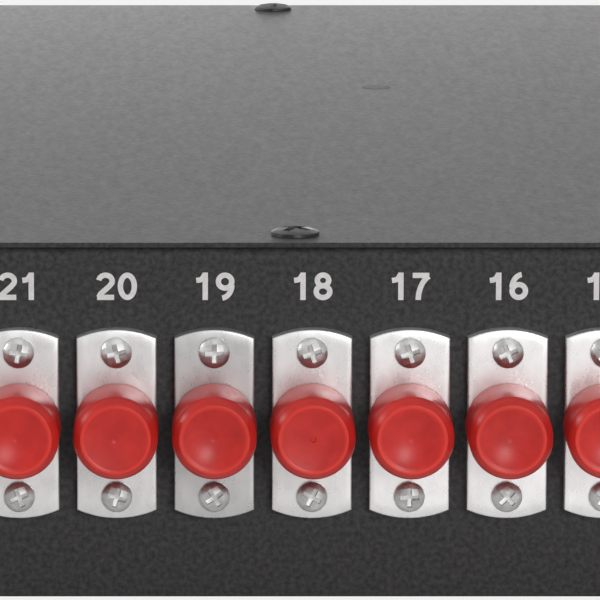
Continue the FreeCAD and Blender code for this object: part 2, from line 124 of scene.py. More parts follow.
def meshFromCopies(name, points, faces, placed, tones=None, spread=False):
    # one mesh with a copy of the template at each 3x3 turn and offset in placed;
    # attribute "tone" is one value for each copy, "spread" the distance from the axis in mm
    sizes = np.array([len(f) for f in faces])
    flat = np.concatenate([np.array(f) for f in faces])
    count = len(points)
    allPoints = np.concatenate([points @ turn.T + offset for turn, offset in placed])
    allLoops = np.concatenate([flat + i * count for i in range(len(placed))])
    allSizes = np.tile(sizes, len(placed))
    starts = np.concatenate([[0], np.cumsum(allSizes)[:-1]])
    mesh = bpy.data.meshes.new(name)
    mesh.vertices.add(len(allPoints))
    mesh.vertices.foreach_set("co", allPoints.astype(np.float32).ravel())
    mesh.loops.add(len(allLoops))
    mesh.loops.foreach_set("vertex_index", allLoops.astype(np.int32))
    mesh.polygons.add(len(allSizes))
    mesh.polygons.foreach_set("loop_start", starts.astype(np.int32))
    mesh.polygons.foreach_set("loop_total", allSizes.astype(np.int32))
    mesh.update(calc_edges=True)
    values = {}
    if tones is not None:
        values["tone"] = np.repeat(tones, count)
    if spread:
        values["spread"] = np.tile(np.hypot(points[:, 0], points[:, 1]) / mm, len(placed))
    for key, each in values.items():
        mesh.attributes.new(key, "FLOAT", "POINT").data.foreach_set("value", each.astype(np.float32))
    mesh.validate()
    return mesh


def addPiece(name, mesh, material, body, replaced=(), sharpAngle=35.0):
    # a finished piece at the origin, smooth apart from its sharp edges
    piece = bpy.data.objects.new(name, mesh)
    bpy.context.scene.collection.objects.link(piece)
    mesh.materials.append(material)
    mesh.polygons.foreach_set("use_smooth", np.ones(len(mesh.polygons), bool))
    mesh.set_sharp_from_angle(angle=math.radians(sharpAngle))
    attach(piece, body)
    if replaced:
        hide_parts(*replaced)
    return piece


def aroundCircle(sides):
    # even angles of one turn; the last side closes back on the first
    return np.linspace(0, twoPi, sides, endpoint=False)


def turned(profile, angles):
    # profile (radius, height) points turned about Z: x = r cos a, y = r sin a, z = height
    radius, height = np.array(profile).T
    x = np.outer(radius, np.cos(angles))
    y = np.outer(radius, np.sin(angles))
    z = np.repeat(height[:, None], len(angles), axis=1)
    return np.stack([x, y, z], axis=-1)


def roundedCorner(centre, radius, fromDeg, toDeg, steps):
    # points of a small arc in the profile plane: centre + radius (cos a, sin a)
    angles = np.radians(np.linspace(fromDeg, toDeg, steps))
    return [(centre[0] + radius * math.cos(a), centre[1] + radius * math.sin(a)) for a in angles]


# local Z of a template points out of the panel, the cover or the ear
outOfPanel = np.array([[1.0, 0, 0], [0, 0, -1.0], [0, 1.0, 0]])
outOfCover = np.eye(3)
outOfRightEar = np.array([[0, 0, 1.0], [1.0, 0, 0], [0, 1.0, 0]])
outOfLeftEar = np.array([[0, 0, -1.0], [-1.0, 0, 0], [0, 1.0, 0]])


def spun(angle):
    # turn about local Z
    c, s = math.cos(angle), math.sin(angle)
    return np.array([[c, -s, 0], [s, c, 0], [0, 0, 1.0]])


# materials

def newMaterial(name):
    # an empty material; returns it with its node tree and main shader
    material = bpy.data.materials.new(name)
    material.use_nodes = True
    tree = material.node_tree
    return material, tree, tree.nodes["Principled BSDF"]


def addNode(tree, kind, **values):
    # a node with its own settings or its inputs set by name
    node = tree.nodes.new(kind)
    for key, value in values.items():
        if hasattr(node, key):
            setattr(node, key, value)
        else:
            node.inputs[key].default_value = value
    return node


def objectNoise(tree, scale, detail=2.0, roughness=0.5, stretch=(1, 1, 1)):
    # noise on Object coordinates; scale is in cycles per metre
    place = addNode(tree, "ShaderNodeTexCoord")
    mapping = addNode(tree, "ShaderNodeMapping")
    mapping.inputs["Scale"].default_value = stretch
    noise = addNode(tree, "ShaderNodeTexNoise")
    noise.inputs["Scale"].default_value = scale
    noise.inputs["Detail"].default_value = detail
    noise.inputs["Roughness"].default_value = roughness
    tree.links.new(place.outputs["Object"], mapping.inputs["Vector"])
    tree.links.new(mapping.outputs["Vector"], noise.inputs["Vector"])
    return noise.outputs["Fac"]


def remap(tree, value, low, high, fromLow=0.3, fromHigh=0.7):
    # from fromLow..fromHigh, the span that noise mostly fills, straight onto low..high
    node = addNode(tree, "ShaderNodeMapRange")
    node.inputs["From Min"].default_value = fromLow
    node.inputs["From Max"].default_value = fromHigh
    node.inputs["To Min"].default_value = low
    node.inputs["To Max"].default_value = high
    tree.links.new(value, node.inputs["Value"])
    return node.outputs["Result"]


def mixColours(tree, factor, first, second):
    # first + factor (second - first); inputs 6 and 7 and output 2 are the node's colours
    node = addNode(tree, "ShaderNodeMix", data_type="RGBA")
    node.inputs[6].default_value = (*first, 1)
    node.inputs[7].default_value = (*second, 1)
    tree.links.new(factor, node.inputs[0])
    return node.outputs[2]


def bumpFrom(tree, shader, height, strength, distance, roundEdges=0.0):
    # bump on the shader's normal; roundEdges softens cut sheet edges by that radius
    bump = addNode(tree, "ShaderNodeBump")
    bump.inputs["Strength"].default_value = strength
    bump.inputs["Distance"].default_value = distance
    tree.links.new(height, bump.inputs["Height"])
    if roundEdges:
        bevel = addNode(tree, "ShaderNodeBevel", samples=4)
        bevel.inputs["Radius"].default_value = roundEdges
        tree.links.new(bevel.outputs["Normal"], bump.inputs["Normal"])
    tree.links.new(bump.outputs["Normal"], shader.inputs["Normal"])


casePaint = {
    "dark": (0.040, 0.0405, 0.042),
    "light": (0.083, 0.084, 0.086),
    "grainPerMetre": 1500.0,
    "grainHeight": 0.00006,
    "grainBump": 0.5,
    "mottlePerMetre": 800.0,
    "mottleStretch": (1, 0.25, 1),
    "roughLow": 0.39,
    "roughHigh": 0.445,
    "specular": 0.04,
    "edgeRadius": 0.0003,
}
# the head of the cover's post is a shade darker
postPaint = {**casePaint, "dark": (0.004, 0.004, 0.004), "light": (0.012, 0.012, 0.012)}


def powderCoat(name="powderCoat", paint=casePaint):
    # fine pebbled powder coat: small even grain, and gloss that varies in small flecks
    material, tree, shader = newMaterial(name)
    mottle = objectNoise(tree, paint["mottlePerMetre"], detail=3.0, roughness=0.6,
                         stretch=paint["mottleStretch"])
    grain = objectNoise(tree, paint["grainPerMetre"], roughness=0.6)
    tree.links.new(mixColours(tree, remap(tree, grain, 0, 1), paint["dark"], paint["light"]),
                   shader.inputs["Base Color"])
    tree.links.new(remap(tree, mottle, paint["roughLow"], paint["roughHigh"]),
                   shader.inputs["Roughness"])
    shader.inputs["Specular IOR Level"].default_value = paint["specular"]
    bumpFrom(tree, shader, grain, paint["grainBump"], paint["grainHeight"], paint["edgeRadius"])
    return material


flangeMetal = {
    "dark": (0.695, 0.695, 0.69),
    "light": (0.815, 0.815, 0.81),
    "roughLow": 0.25,
    "roughHigh": 0.32,
    "metallic": 0.64,           # the satin plating scatters part of the light
    "cloudPerMetre": 420.0,
    "cloudStretch": (1, 1, 0.6),
    "wipesPerMetre": 2400.0,
    "wipeStretch": (1, 1, 0.25),
    "wipeBump": 0.025,
    "wipeHeight": 0.00002,
}


def satinNickel(name="satinNickel", toned=False):
    # satin plated metal with faint wiping marks along its length; a toned one varies by piece, partly
    # as plating varies and partly as painted reflection
    material, tree, shader = newMaterial(name)
    cloud = objectNoise(tree, flangeMetal["cloudPerMetre"], detail=4.0, roughness=0.6,
                        stretch=flangeMetal["cloudStretch"])
    wipes = objectNoise(tree, flangeMetal["wipesPerMetre"], roughness=0.6,
                        stretch=flangeMetal["wipeStretch"])
    colour = mixColours(tree, remap(tree, cloud, 0, 1), flangeMetal["dark"], flangeMetal["light"])
    if toned:
        tone = addNode(tree, "ShaderNodeAttribute", attribute_name="tone")
        scaled = addNode(tree, "ShaderNodeVectorMath", operation="SCALE")
        tree.links.new(colour, scaled.inputs[0])
        tree.links.new(tone.outputs["Fac"], scaled.inputs["Scale"])
        colour = scaled.outputs["Vector"]
    tree.links.new(colour, shader.inputs["Base Color"])
    tree.links.new(remap(tree, cloud, flangeMetal["roughLow"], flangeMetal["roughHigh"]),
                   shader.inputs["Roughness"])
    shader.inputs["Metallic"].default_value = flangeMetal["metallic"]
    bumpFrom(tree, shader, wipes, flangeMetal["wipeBump"], flangeMetal["wipeHeight"])
    return material


screwMetal = {
    "dark": (0.36, 0.36, 0.355),
    "light": (0.54, 0.54, 0.535),
    "rough": (0.34, 0.48),
    "cloudPerMetre": 900.0,
    "cloudBump": 0.1,
    "cloudHeight": 0.00003,
}
blackScrewMetal = {**screwMetal, "dark": (0.055, 0.055, 0.057), "light": (0.105, 0.105, 0.108),
                   "rough": (0.36, 0.50)}


def brightZinc(name="brightZinc", metal=screwMetal):
    # plated steel, a little cloudy
    material, tree, shader = newMaterial(name)
    cloud = objectNoise(tree, metal["cloudPerMetre"], detail=3.0)
    tree.links.new(mixColours(tree, remap(tree, cloud, 0, 1), metal["dark"], metal["light"]),
                   shader.inputs["Base Color"])
    tree.links.new(remap(tree, cloud, *metal["rough"]), shader.inputs["Roughness"])
    shader.inputs["Metallic"].default_value = 1.0
    bumpFrom(tree, shader, cloud, metal["cloudBump"], metal["cloudHeight"])
    return material


capPlastic = {
    "deep": (0.58, 0.021, 0.017),
    "light": (0.72, 0.034, 0.027),
    "rim": (0.89, 0.048, 0.031),    # painted highlight: the thin rim of the face is coloured lighter where its round edge catches the light
    "rimHighlightRadius": 4.06,              # mm from the axis
    "rimHighlightReach": 0.36,               # mm to either side
    "roughLow": 0.30,
    "roughHigh": 0.38,
    "specular": 0.31,
    "ringsPerMm": 3.2,
    "ringHeight": 0.000002,
    "ringBump": 0.5,
    "flowPerMetre": 420.0,
    "finePerMetre": 3000.0,
}


def redPlastic():
    # soft moulded plastic: faint flow marks, fine turned rings about each cap's axis,
    # height = sin(2 pi rings radius) + fine noise, and a painted highlight on the rim,
    # share = 1 - |radius - rim| / reach
    material, tree, shader = newMaterial("redPlastic")
    flow = objectNoise(tree, capPlastic["flowPerMetre"], detail=3.0)
    fine = objectNoise(tree, capPlastic["finePerMetre"])
    tone = addNode(tree, "ShaderNodeAttribute", attribute_name="tone")
    spread = addNode(tree, "ShaderNodeAttribute", attribute_name="spread")
    scaled = addNode(tree, "ShaderNodeVectorMath", operation="SCALE")
    offRim = addNode(tree, "ShaderNodeMath", operation="SUBTRACT")
    offRim.inputs[1].default_value = capPlastic["rimHighlightRadius"]
    away = addNode(tree, "ShaderNodeMath", operation="ABSOLUTE")
    tree.links.new(spread.outputs["Fac"], offRim.inputs[0])
    tree.links.new(offRim.outputs[0], away.inputs[0])
    # painted highlight: the rim's lighter red is mixed over the plastic's own colour here
    paintedRimHighlight = addNode(tree, "ShaderNodeMix", data_type="RGBA")
    paintedRimHighlight.inputs[7].default_value = (*capPlastic["rim"], 1)
    tree.links.new(remap(tree, away.outputs[0], 1, 0, 0, capPlastic["rimHighlightReach"]), paintedRimHighlight.inputs[0])
    tree.links.new(mixColours(tree, remap(tree, flow, 0, 1), capPlastic["deep"],
                              capPlastic["light"]), paintedRimHighlight.inputs[6])
    tree.links.new(paintedRimHighlight.outputs[2], scaled.inputs[0])
    tree.links.new(tone.outputs["Fac"], scaled.inputs["Scale"])
    tree.links.new(scaled.outputs["Vector"], shader.inputs["Base Color"])
    tree.links.new(remap(tree, flow, capPlastic["roughLow"], capPlastic["roughHigh"]),
                   shader.inputs["Roughness"])
    shader.inputs["Specular IOR Level"].default_value = capPlastic["specular"]
    turns = addNode(tree, "ShaderNodeMath", operation="MULTIPLY")
    turns.inputs[1].default_value = twoPi * capPlastic["ringsPerMm"]
    wave = addNode(tree, "ShaderNodeMath", operation="SINE")
    total = addNode(tree, "ShaderNodeMath", operation="ADD")
    tree.links.new(spread.outputs["Fac"], turns.inputs[0])
    tree.links.new(turns.outputs[0], wave.inputs[0])
    tree.links.new(wave.outputs[0], total.inputs[0])
    tree.links.new(fine, total.inputs[1])
    bumpFrom(tree, shader, total.outputs[0], capPlastic["ringBump"], capPlastic["ringHeight"])
    return material


plainGrain = {"perMetre": 1400.0, "bump": 0.15, "height": 0.00004}


def plainFinish(name, dark, light, roughLow, roughHigh):
    # two close shades, uneven gloss and a fine grain, for ink, ceramic and the parts inside
    material, tree, shader = newMaterial(name)
    cloud = objectNoise(tree, plainGrain["perMetre"], detail=3.0)
    tree.links.new(mixColours(tree, remap(tree, cloud, 0, 1), dark, light),
                   shader.inputs["Base Color"])
    tree.links.new(remap(tree, cloud, roughLow, roughHigh), shader.inputs["Roughness"])
    bumpFrom(tree, shader, cloud, plainGrain["bump"], plainGrain["height"])
    return material


finishes = {
    "powderCoat": powderCoat(),
    "satinNickel": satinNickel(),
    "flangeNickel": satinNickel("flangeNickel", True),
    "brightZinc": brightZinc(),
    "blackScrew": brightZinc("blackScrew", blackScrewMetal),
    "redPlastic": redPlastic(),
    "whiteInk": plainFinish("whiteInk", (0.74, 0.74, 0.74), (0.88, 0.88, 0.88), 0.45, 0.6),
    "modulePlastic": plainFinish("modulePlastic", (0.10, 0.10, 0.105), (0.14, 0.14, 0.145), 0.5, 0.65),
    "guidePlastic": plainFinish("guidePlastic", (0.70, 0.70, 0.67), (0.80, 0.80, 0.77), 0.45, 0.6),
    "fibreJacket": plainFinish("fibreJacket", (0.78, 0.75, 0.66), (0.86, 0.84, 0.78), 0.4, 0.55),
    "ceramic": plainFinish("ceramic", (0.82, 0.82, 0.80), (0.90, 0.90, 0.88), 0.18, 0.28),
    "postPaint": powderCoat("postPaint", postPaint),
}

nodeFinishes = {
    "chassis_tray": "powderCoat", "front_panel": "powderCoat", "top_cover": "powderCoat",
    "left_ear": "powderCoat", "right_ear": "powderCoat", "cover_post": "postPaint",
    "module_shelf": "brightZinc", "shelf_screws": "brightZinc", "module_strap": "brightZinc",
    "strap_screws": "brightZinc", "rear_connectors": "satinNickel",
    "splitter_module": "modulePlastic", "output_fibres": "fibreJacket",
    "input_fibre": "fibreJacket", "fibre_spool": "guidePlastic", "loom_clips": "guidePlastic",
    "input_clips": "guidePlastic",
}
# these solids keep their own mesh and get a finish
for nodeName, finish in nodeFinishes.items():
    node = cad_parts[nodeName]
    node.data.materials.clear()
    node.data.materials.append(finishes[finish])
print("materials set")


# screws

adapterScrew = {"shank": 2.0 * mm, "head": 3.8 * mm, "height": 1.25 * mm, "wall": 0.45 * mm,
                "reach": 4.6 * mm, "arm": 0.27 * mm, "armReach": 1.15 * mm, "cross": 0.75 * mm}
coverScrew = {"shank": 3.0 * mm, "head": 5.95 * mm, "height": 0.95 * mm, "wall": 0.42 * mm,
              "reach": 3.0 * mm, "arm": 0.48 * mm, "armReach": 2.0 * mm, "cross": 0.8 * mm}
earScrew = {"shank": 4.0 * mm, "head": 7.5 * mm, "height": 2.1 * mm, "wall": 0.7 * mm,
            "reach": 5.8 * mm, "arm": 0.55 * mm, "armReach": 2.2 * mm, "cross": 1.4 * mm}


# what every screw head has in common
screwHead = {
    "wallSlope": 0.18,          # of the arm, the slope of the recess's wall
    "midArm": 0.55,             # of the arm, a grid line inside it
    "outerLines": [0.80, 0.90, 0.965, 1.0],
    "domePower": 1.4,           # of the radius squared
    "rise": 0.45,               # of the depth, how far the recess rises to its ends
    "footHeight": 0.12,         # of the wall, where the small chamfer under the head starts
    "footRadius": 0.985,
    "sharpAngle": 28.0,         # degrees between faces past which an edge stays sharp
}
hair = 1e-9                     # rounding error of a grid line


def crossHeadScrew(size):
    # a square grid pressed into a disc, u sqrt(1 - v^2/2), v sqrt(1 - u^2/2), lifted to a dome
    # h = wall + (height - wall)(1 - r^2.8), less a cross-shaped recess along the grid lines
    # that is depth (1 - rise (along / reach)^2) deep
    radius = size["head"] / 2
    arm = size["arm"] / radius
    reach = size["armReach"] / radius
    slope = screwHead["wallSlope"] * arm
    half = [0, screwHead["midArm"] * arm, arm, arm + slope, reach, reach + slope]
    half += screwHead["outerLines"]
    lines = np.array(sorted(set([-v for v in half] + half)))
    u, v = np.meshgrid(lines, lines, indexing="ij")
    x = u * np.sqrt(1 - v * v / 2)
    y = v * np.sqrt(1 - u * u / 2)
    spread = x * x + y * y
    dome = size["wall"] + (size["height"] - size["wall"]) * (1 - spread ** screwHead["domePower"])
    across = np.minimum(np.abs(u), np.abs(v))
    along = np.maximum(np.abs(u), np.abs(v))
    recess = (across <= arm + hair) & (along <= reach + hair)
    taper = 1 - screwHead["rise"] * np.clip(along / reach, 0, 1) ** 2
    z = dome - np.where(recess, size["cross"] * taper, 0)
    top = np.stack([x * radius, y * radius, z], axis=-1)
    rim = np.concatenate([top[:-1, 0], top[-1, :-1], top[:0:-1, -1], top[0, :0:-1]])
    rows = [rim]
    shank = size["shank"] / size["head"]
    for scale, height in ((1.0, screwHead["footHeight"] * size["wall"]),
                          (screwHead["footRadius"], 0.0), (shank, 0.0), (shank, -size["reach"])):
        ring = rim * np.array([scale, scale, 0]) + np.array([0, 0, height])
        rows.append(ring)
    rows.append(np.zeros_like(rim) + np.array([0, 0, -size["reach"]]))
    wall = np.stack(rows)
    return cleanTemplate(*joinGrids([(top, False), (wall, True)]))


seeds = {"adapterScrews": 7, "coverScrews": 11, "earScrews": 13, "flangeTonesAndSheen": 5, "caps": 3}


def screwCopies(name, size, seats, material, replaced):
    # one crossed screw on each seat, each driven home at its own angle
    angles = np.random.default_rng(seeds[name]).uniform(0, math.pi / 2, len(seats))
    points, faces = crossHeadScrew(size)
    placed = [(turn @ spun(a), np.array(place)) for (turn, place), a in zip(seats, angles)]
    mesh = meshFromCopies(name, points, faces, placed)
    return addPiece(name, mesh, material, caseBody, (replaced,),
                    screwHead["sharpAngle"])


flangePlate = {
    "disc": 23.6 * mm,          # the arched ends belong to this circle
    "width": 9.8 * mm,
    "thick": 2.0 * mm,
    "edge": 0.28 * mm,          # round edge of the front
    "holePitch": 18.0 * mm,
    "sidePoints": 13,           # along each straight side, its ends apart
    "arcPoints": 25,
    "ringShares": (0.3, 0.6, 0.9, 1.0),
    "edgeTurns": (30, 60, 90),  # degrees round the front edge
    "sharpAngle": 20.0,
}
flangeFrontY = flangeBack - flangePlate["thick"]

adapterSeats = []
for place in portPlaces.values():
    for end in (-0.5, 0.5):
        seat = (place.x, flangeFrontY, place.z + end * flangePlate["holePitch"])
        adapterSeats.append((outOfPanel, seat))
screwCopies("adapterScrews", adapterScrew, adapterSeats, finishes["brightZinc"],
            "adapter_screws")

coverLow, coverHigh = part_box("cover_screws")
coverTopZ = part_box("top_cover")[1].z
coverHeadRadius = 3.0 * mm                          # of the solid's heads, to find their middles
coverSeats = []
for x in (coverLow.x + coverHeadRadius, 0.0, coverHigh.x - coverHeadRadius):
    for y in (coverLow.y + coverHeadRadius, coverHigh.y - coverHeadRadius):
        coverSeats.append((outOfCover, (x, y, coverTopZ)))
screwCopies("coverScrews", coverScrew, coverSeats, finishes["blackScrew"],
            "cover_screws")

earLow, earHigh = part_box("ear_screws")
earHeadRadius = 3.8 * mm                            # the same for the ears' solid
earHeadHeight = 2.2 * mm
earSeats = []
for y in (earLow.y + earHeadRadius, earHigh.y - earHeadRadius):
    for z in (earLow.z + earHeadRadius, earHigh.z - earHeadRadius):
        earSeats.append((outOfRightEar, (earHigh.x - earHeadHeight, y, z)))
        earSeats.append((outOfLeftEar, (earLow.x + earHeadHeight, y, z)))
screwCopies("earScrews", earScrew, earSeats, finishes["blackScrew"],
            "ear_screws")
print("screws placed")


# adapters

barrel = {
    "radius": 4.0 * mm,
    "front": 8.0 * mm,
    "back": 8.0 * mm,
    "threadPitch": 0.75 * mm,
    "threadDepth": 0.36 * mm,
    "leadIn": 0.9 * mm,         # plain end at the tip
    "tipRound": 0.3 * mm,
    "socket": 2.8 * mm,
    "socketDepth": 6.5 * mm,
    "housing": 2.1 * mm,        # the holder round the ceramic sleeve
    "housingBore": 1.62 * mm,
    "housingDrop": 2.0 * mm,
    "keyHalf": 1.075 * mm,
    "keyDepth": 3.5 * mm,
    "sunk": 0.2 * mm,           # how far the barrel's foot stands in the flange
    "threadFade": 0.5 * mm,     # length over which the thread runs out
    "housingEdge": 0.12 * mm,
    "mouthEdge": 0.15 * mm,
    "backEdge": 0.3 * mm,
    "sides": 36,
    "keySteps": 5,
    "backSides": 32,
    "perTurn": 4,
}


def flangeOutline(inset):
    # strip cut from a disc: two straight sides and two arched ends, moved in by the inset
    half = flangePlate["width"] / 2 - inset
    disc = flangePlate["disc"] / 2 - inset
    bend = math.acos(half / disc)
    steps = np.linspace(-1, 1, flangePlate["sidePoints"] + 2)[1:-1]
    side = [(half, t * disc * math.sin(bend)) for t in steps]
    arc = [(disc * math.cos(a), disc * math.sin(a))
           for a in np.linspace(bend, math.pi - bend, flangePlate["arcPoints"])]
    points = side + arc
    return np.array(points + [(-x, -y) for x, y in points])


def flangeTemplate():
    # rings from the middle out to the outline, round the front edge, down to the panel and back
    thick, edge = flangePlate["thick"], flangePlate["edge"]
    rings = [np.zeros((len(flangeOutline(0)), 3)) + (0, 0, thick)]
    for t in flangePlate["ringShares"]:
        flat = flangeOutline(edge) * t
        rings.append(np.column_stack([flat, np.full(len(flat), thick)]))
    for degrees in flangePlate["edgeTurns"]:
        turn = math.radians(degrees)
        flat = flangeOutline(edge * (1 - math.sin(turn)))
        rings.append(np.column_stack([flat, np.full(len(flat), thick - edge * (1 - math.cos(turn)))]))
    flat = flangeOutline(0)
    rings.append(np.column_stack([flat, np.zeros(len(flat))]))
    rings.append(np.zeros((len(flat), 3)))
    return cleanTemplate(*joinGrids([(np.stack(rings), True)]))


def barrelTemplate():
    # outside wall r = R - depth |2 phase - 1| with phase = height / pitch - angle / turn;
    # the socket wall shares its angles, and the keyway is a gap in both above one height
    keyAngle = math.asin(barrel["keyHalf"] / barrel["radius"])
    sides = barrel["sides"]
    wide = np.linspace(math.pi / 2 + keyAngle, math.pi / 2 - keyAngle + twoPi, sides)
    narrow = np.linspace(math.pi / 2 - keyAngle, math.pi / 2 + keyAngle, barrel["keySteps"])[1:-1]
    angles = np.concatenate([wide, narrow])
    root = flangePlate["thick"] - barrel["sunk"]
    tip = flangePlate["thick"] + barrel["front"]
    step = barrel["threadPitch"] / barrel["perTurn"]
    keyRow = tip - barrel["keyDepth"]
    down = np.arange(keyRow, root, -step)[::-1]
    up = np.arange(keyRow, tip - barrel["tipRound"], step)[1:]
    heights = np.concatenate([[root], down, up, [tip - barrel["tipRound"], tip]])
    a, h = np.meshgrid(angles, heights, indexing="xy")
    phase = (h / barrel["threadPitch"] - a / twoPi) % 1.0
    fade = np.clip((tip - barrel["leadIn"] - h) / barrel["threadFade"], 0, 1)
    radius = barrel["radius"] - barrel["threadDepth"] * np.abs(2 * phase - 1) * fade
    radius[-1] -= barrel["tipRound"]
    outside = np.stack([radius * np.cos(a), radius * np.sin(a), h], axis=-1)
    key = len(down)
    floor = tip - barrel["socketDepth"]
    holder = tip - barrel["housingDrop"]
    profile = [(0, floor), (barrel["housingBore"], floor), (barrel["housingBore"], holder),
               (barrel["housing"] - barrel["housingEdge"], holder),
               (barrel["housing"], holder - barrel["housingEdge"]), (barrel["housing"], floor),
               (barrel["socket"], floor)]
    profile += [(barrel["socket"], level) for level in heights[key:-1]]
    profile += [(barrel["socket"] + barrel["mouthEdge"], tip)]
    inside = turned(profile, angles)
    innerKey = len(profile) - len(heights[key:])
    bridge = [sides - 1, sides, sides + 1, sides + 2, 0]
    base = np.stack([outside[0], outside[0] * (0, 0, 1)])
    walls = [np.stack([outside[key:, c], inside[innerKey:, c]]) for c in (0, sides - 1)]
    grids = [(base, True), (outside[:key + 1], True),
             (outside[key:, :sides], False), (inside[:innerKey + 1], True),
             (inside[innerKey:, :sides], False),
             (np.stack([outside[-1, :sides], inside[-1, :sides]]), False),
             (np.stack([outside[key][bridge], inside[innerKey][bridge]]), False)]
    grids += [(wall, False) for wall in walls]
    rear = turned([(0, barrel["sunk"]), (barrel["radius"], barrel["sunk"]),
                   (barrel["radius"], -barrel["back"] + barrel["backEdge"]),
                   (barrel["radius"] - barrel["backEdge"], -barrel["back"]), (0, -barrel["back"])],
                  aroundCircle(barrel["backSides"]))
    return cleanTemplate(*joinGrids(grids + [(rear, True)]))


portSpots = [(outOfPanel, np.array([p.x, flangeBack, p.z])) for p in portPlaces.values()]


def atEveryPort(name, template, material, replaced=(), sharpAngle=30.0, tones=None):
    # one piece with a copy of the template at each port
    mesh = meshFromCopies(name, *template, portSpots, tones)
    return addPiece(name, mesh, material, caseBody, replaced, sharpAngle)


# how light each flange is: seeded, and as in the photo where it shows them
unseenTones = (0.84, 1.0)
flangeTonesAndSheen = np.random.default_rng(seeds["flangeTonesAndSheen"]).uniform(*unseenTones, len(portPlaces))
# for the ports listed here the tones are partly painted reflection: flanges are lighter or darker as
# slight tilts under the lamps would make them
seenTonesAndSheen = {"dust_cap_21": 0.92, "dust_cap_20": 0.89, "dust_cap_19": 0.66, "dust_cap_18": 0.90,
             "dust_cap_17": 1.0, "dust_cap_16": 1.0, "dust_cap_15": 1.0}
for i, capNode in enumerate(portPlaces):
    flangeTonesAndSheen[i] = seenTonesAndSheen.get(capNode, flangeTonesAndSheen[i])
atEveryPort("flangePlates", flangeTemplate(), finishes["flangeNickel"],
            ("fc_adapters",), flangePlate["sharpAngle"], flangeTonesAndSheen)
atEveryPort("threadedBarrels", barrelTemplate(), finishes["satinNickel"])

sleeve = {
    "outer": 1.6 * mm,
    "bore": 1.25 * mm,
    "length": 4.3 * mm,
    "tipBack": 2.1 * mm,        # behind the barrel's tip
    "outerEdge": 0.1 * mm,
    "boreEdge": 0.08 * mm,
    "closedEnd": 0.4 * mm,
    "sides": 28,
}


def sleeveTemplate():
    # ceramic tube with rounded mouth, closed at the far end
    top = flangePlate["thick"] + barrel["front"] - sleeve["tipBack"]
    low = top - sleeve["length"]
    outerEdge, boreEdge = sleeve["outerEdge"], sleeve["boreEdge"]
    profile = [(0, low), (sleeve["outer"], low), (sleeve["outer"], top - outerEdge),
               (sleeve["outer"] - outerEdge, top), (sleeve["bore"] + boreEdge, top),
               (sleeve["bore"], top - boreEdge), (sleeve["bore"], low + sleeve["closedEnd"]),
               (0, low + sleeve["closedEnd"])]
    return cleanTemplate(*joinGrids([(turned(profile, aroundCircle(sleeve["sides"])), True)]))


atEveryPort("ceramicSleeves", sleeveTemplate(), finishes["ceramic"])
print("adapters placed")


# dust caps

dustCap = {
    "skirt": 5.2 * mm,
    "draft": 0.06 * mm,         # the skirt is this much slimmer at its closed end
    "face": 4.30 * mm,
    "faceEdge": 0.14 * mm,      # round edge of the face
    "shoulder": 1.5 * mm,       # height of the steep shoulder below the face
    "rimWidth": 0.34 * mm,
    "rimDrop": 0.05 * mm,
    "bore": 4.05 * mm,
    "boreEnd": 1.3 * mm,        # thickness of the closed end
    "gate": 0.36 * mm,
    "gateFoot": 0.8,            # of the gate's radius
    "boreEdge": 0.2 * mm,       # width of the slants at both ends of the bore
    "mouthSlant": 0.25 * mm,    # height of the one at the mouth
    "mouthRound": 0.2 * mm,
    "lean": 1.6,                # power of the shoulder's curve
    "edgeIn": 0.6,              # of faceEdge, from the face's radius in to the edge's centre
    "edgeFrom": 20,             # degrees at which the round edge takes over from the shoulder
    "rimSlope": ((0.06 * mm, 0.7), (0.16 * mm, 1.0)),   # inwards, and share of the drop
    "mouthSteps": 4,
    "shoulderSteps": 9,
    "edgeSteps": 5,
    "dishSteps": 14,
    "sides": 72,
    "sharpAngle": 40.0,
}


def dustCapTemplate(dish, gateDepth):
    # turned profile: bore end, bore, mouth, skirt, a steep shoulder that leans in
    # by run t^lean while it climbs by rise t, a round edge, a flat rim, then a dish
    # that deepens with 1 - (r / R)^2, and the gate mark in the middle
    length = capMouthY - capFaceY
    skirt, face, bore = dustCap["skirt"], dustCap["face"], dustCap["bore"]
    slant, mouthRound = dustCap["boreEdge"], dustCap["mouthRound"]
    profile = [(0, length - dustCap["boreEnd"]),
               (bore - slant, length - dustCap["boreEnd"]),
               (bore, length - dustCap["boreEnd"] - slant),
               (bore, dustCap["mouthSlant"]), (bore + slant, 0.0)]
    profile += roundedCorner((skirt - mouthRound, mouthRound), mouthRound, -90, 0,
                             dustCap["mouthSteps"])
    edge = dustCap["faceEdge"]
    edgeOut = edge * (1 - dustCap["edgeIn"])
    edgeCentre = face - edge * dustCap["edgeIn"]
    start = length - dustCap["shoulder"]
    run = skirt - dustCap["draft"] - face - edgeOut
    rise = dustCap["shoulder"] - edge
    for t in np.linspace(0, 1, dustCap["shoulderSteps"]):
        profile.append((skirt - dustCap["draft"] - run * t ** dustCap["lean"], start + rise * t))
    profile += roundedCorner((edgeCentre, length - edge), edge, dustCap["edgeFrom"], 90,
                             dustCap["edgeSteps"])[1:]
    rim = edgeCentre - dustCap["rimWidth"]
    profile.append((rim, length))
    for inwards, share in dustCap["rimSlope"]:
        profile.append((rim - inwards, length - dustCap["rimDrop"] * share))
    dishRim, gate = profile[-1][0], dustCap["gate"]
    for radius in np.linspace(dishRim, gate, dustCap["dishSteps"])[1:]:
        sink = dustCap["rimDrop"] + dish * (1 - (radius / dishRim) ** 2)
        profile.append((radius, length - sink))
    gateLevel = profile[-1][1]
    gateFloor = gateLevel - gateDepth
    profile += [(gate * dustCap["gateFoot"], gateFloor), (0, gateFloor)]
    return cleanTemplate(*joinGrids([(turned(profile, aroundCircle(dustCap["sides"])), True)]))


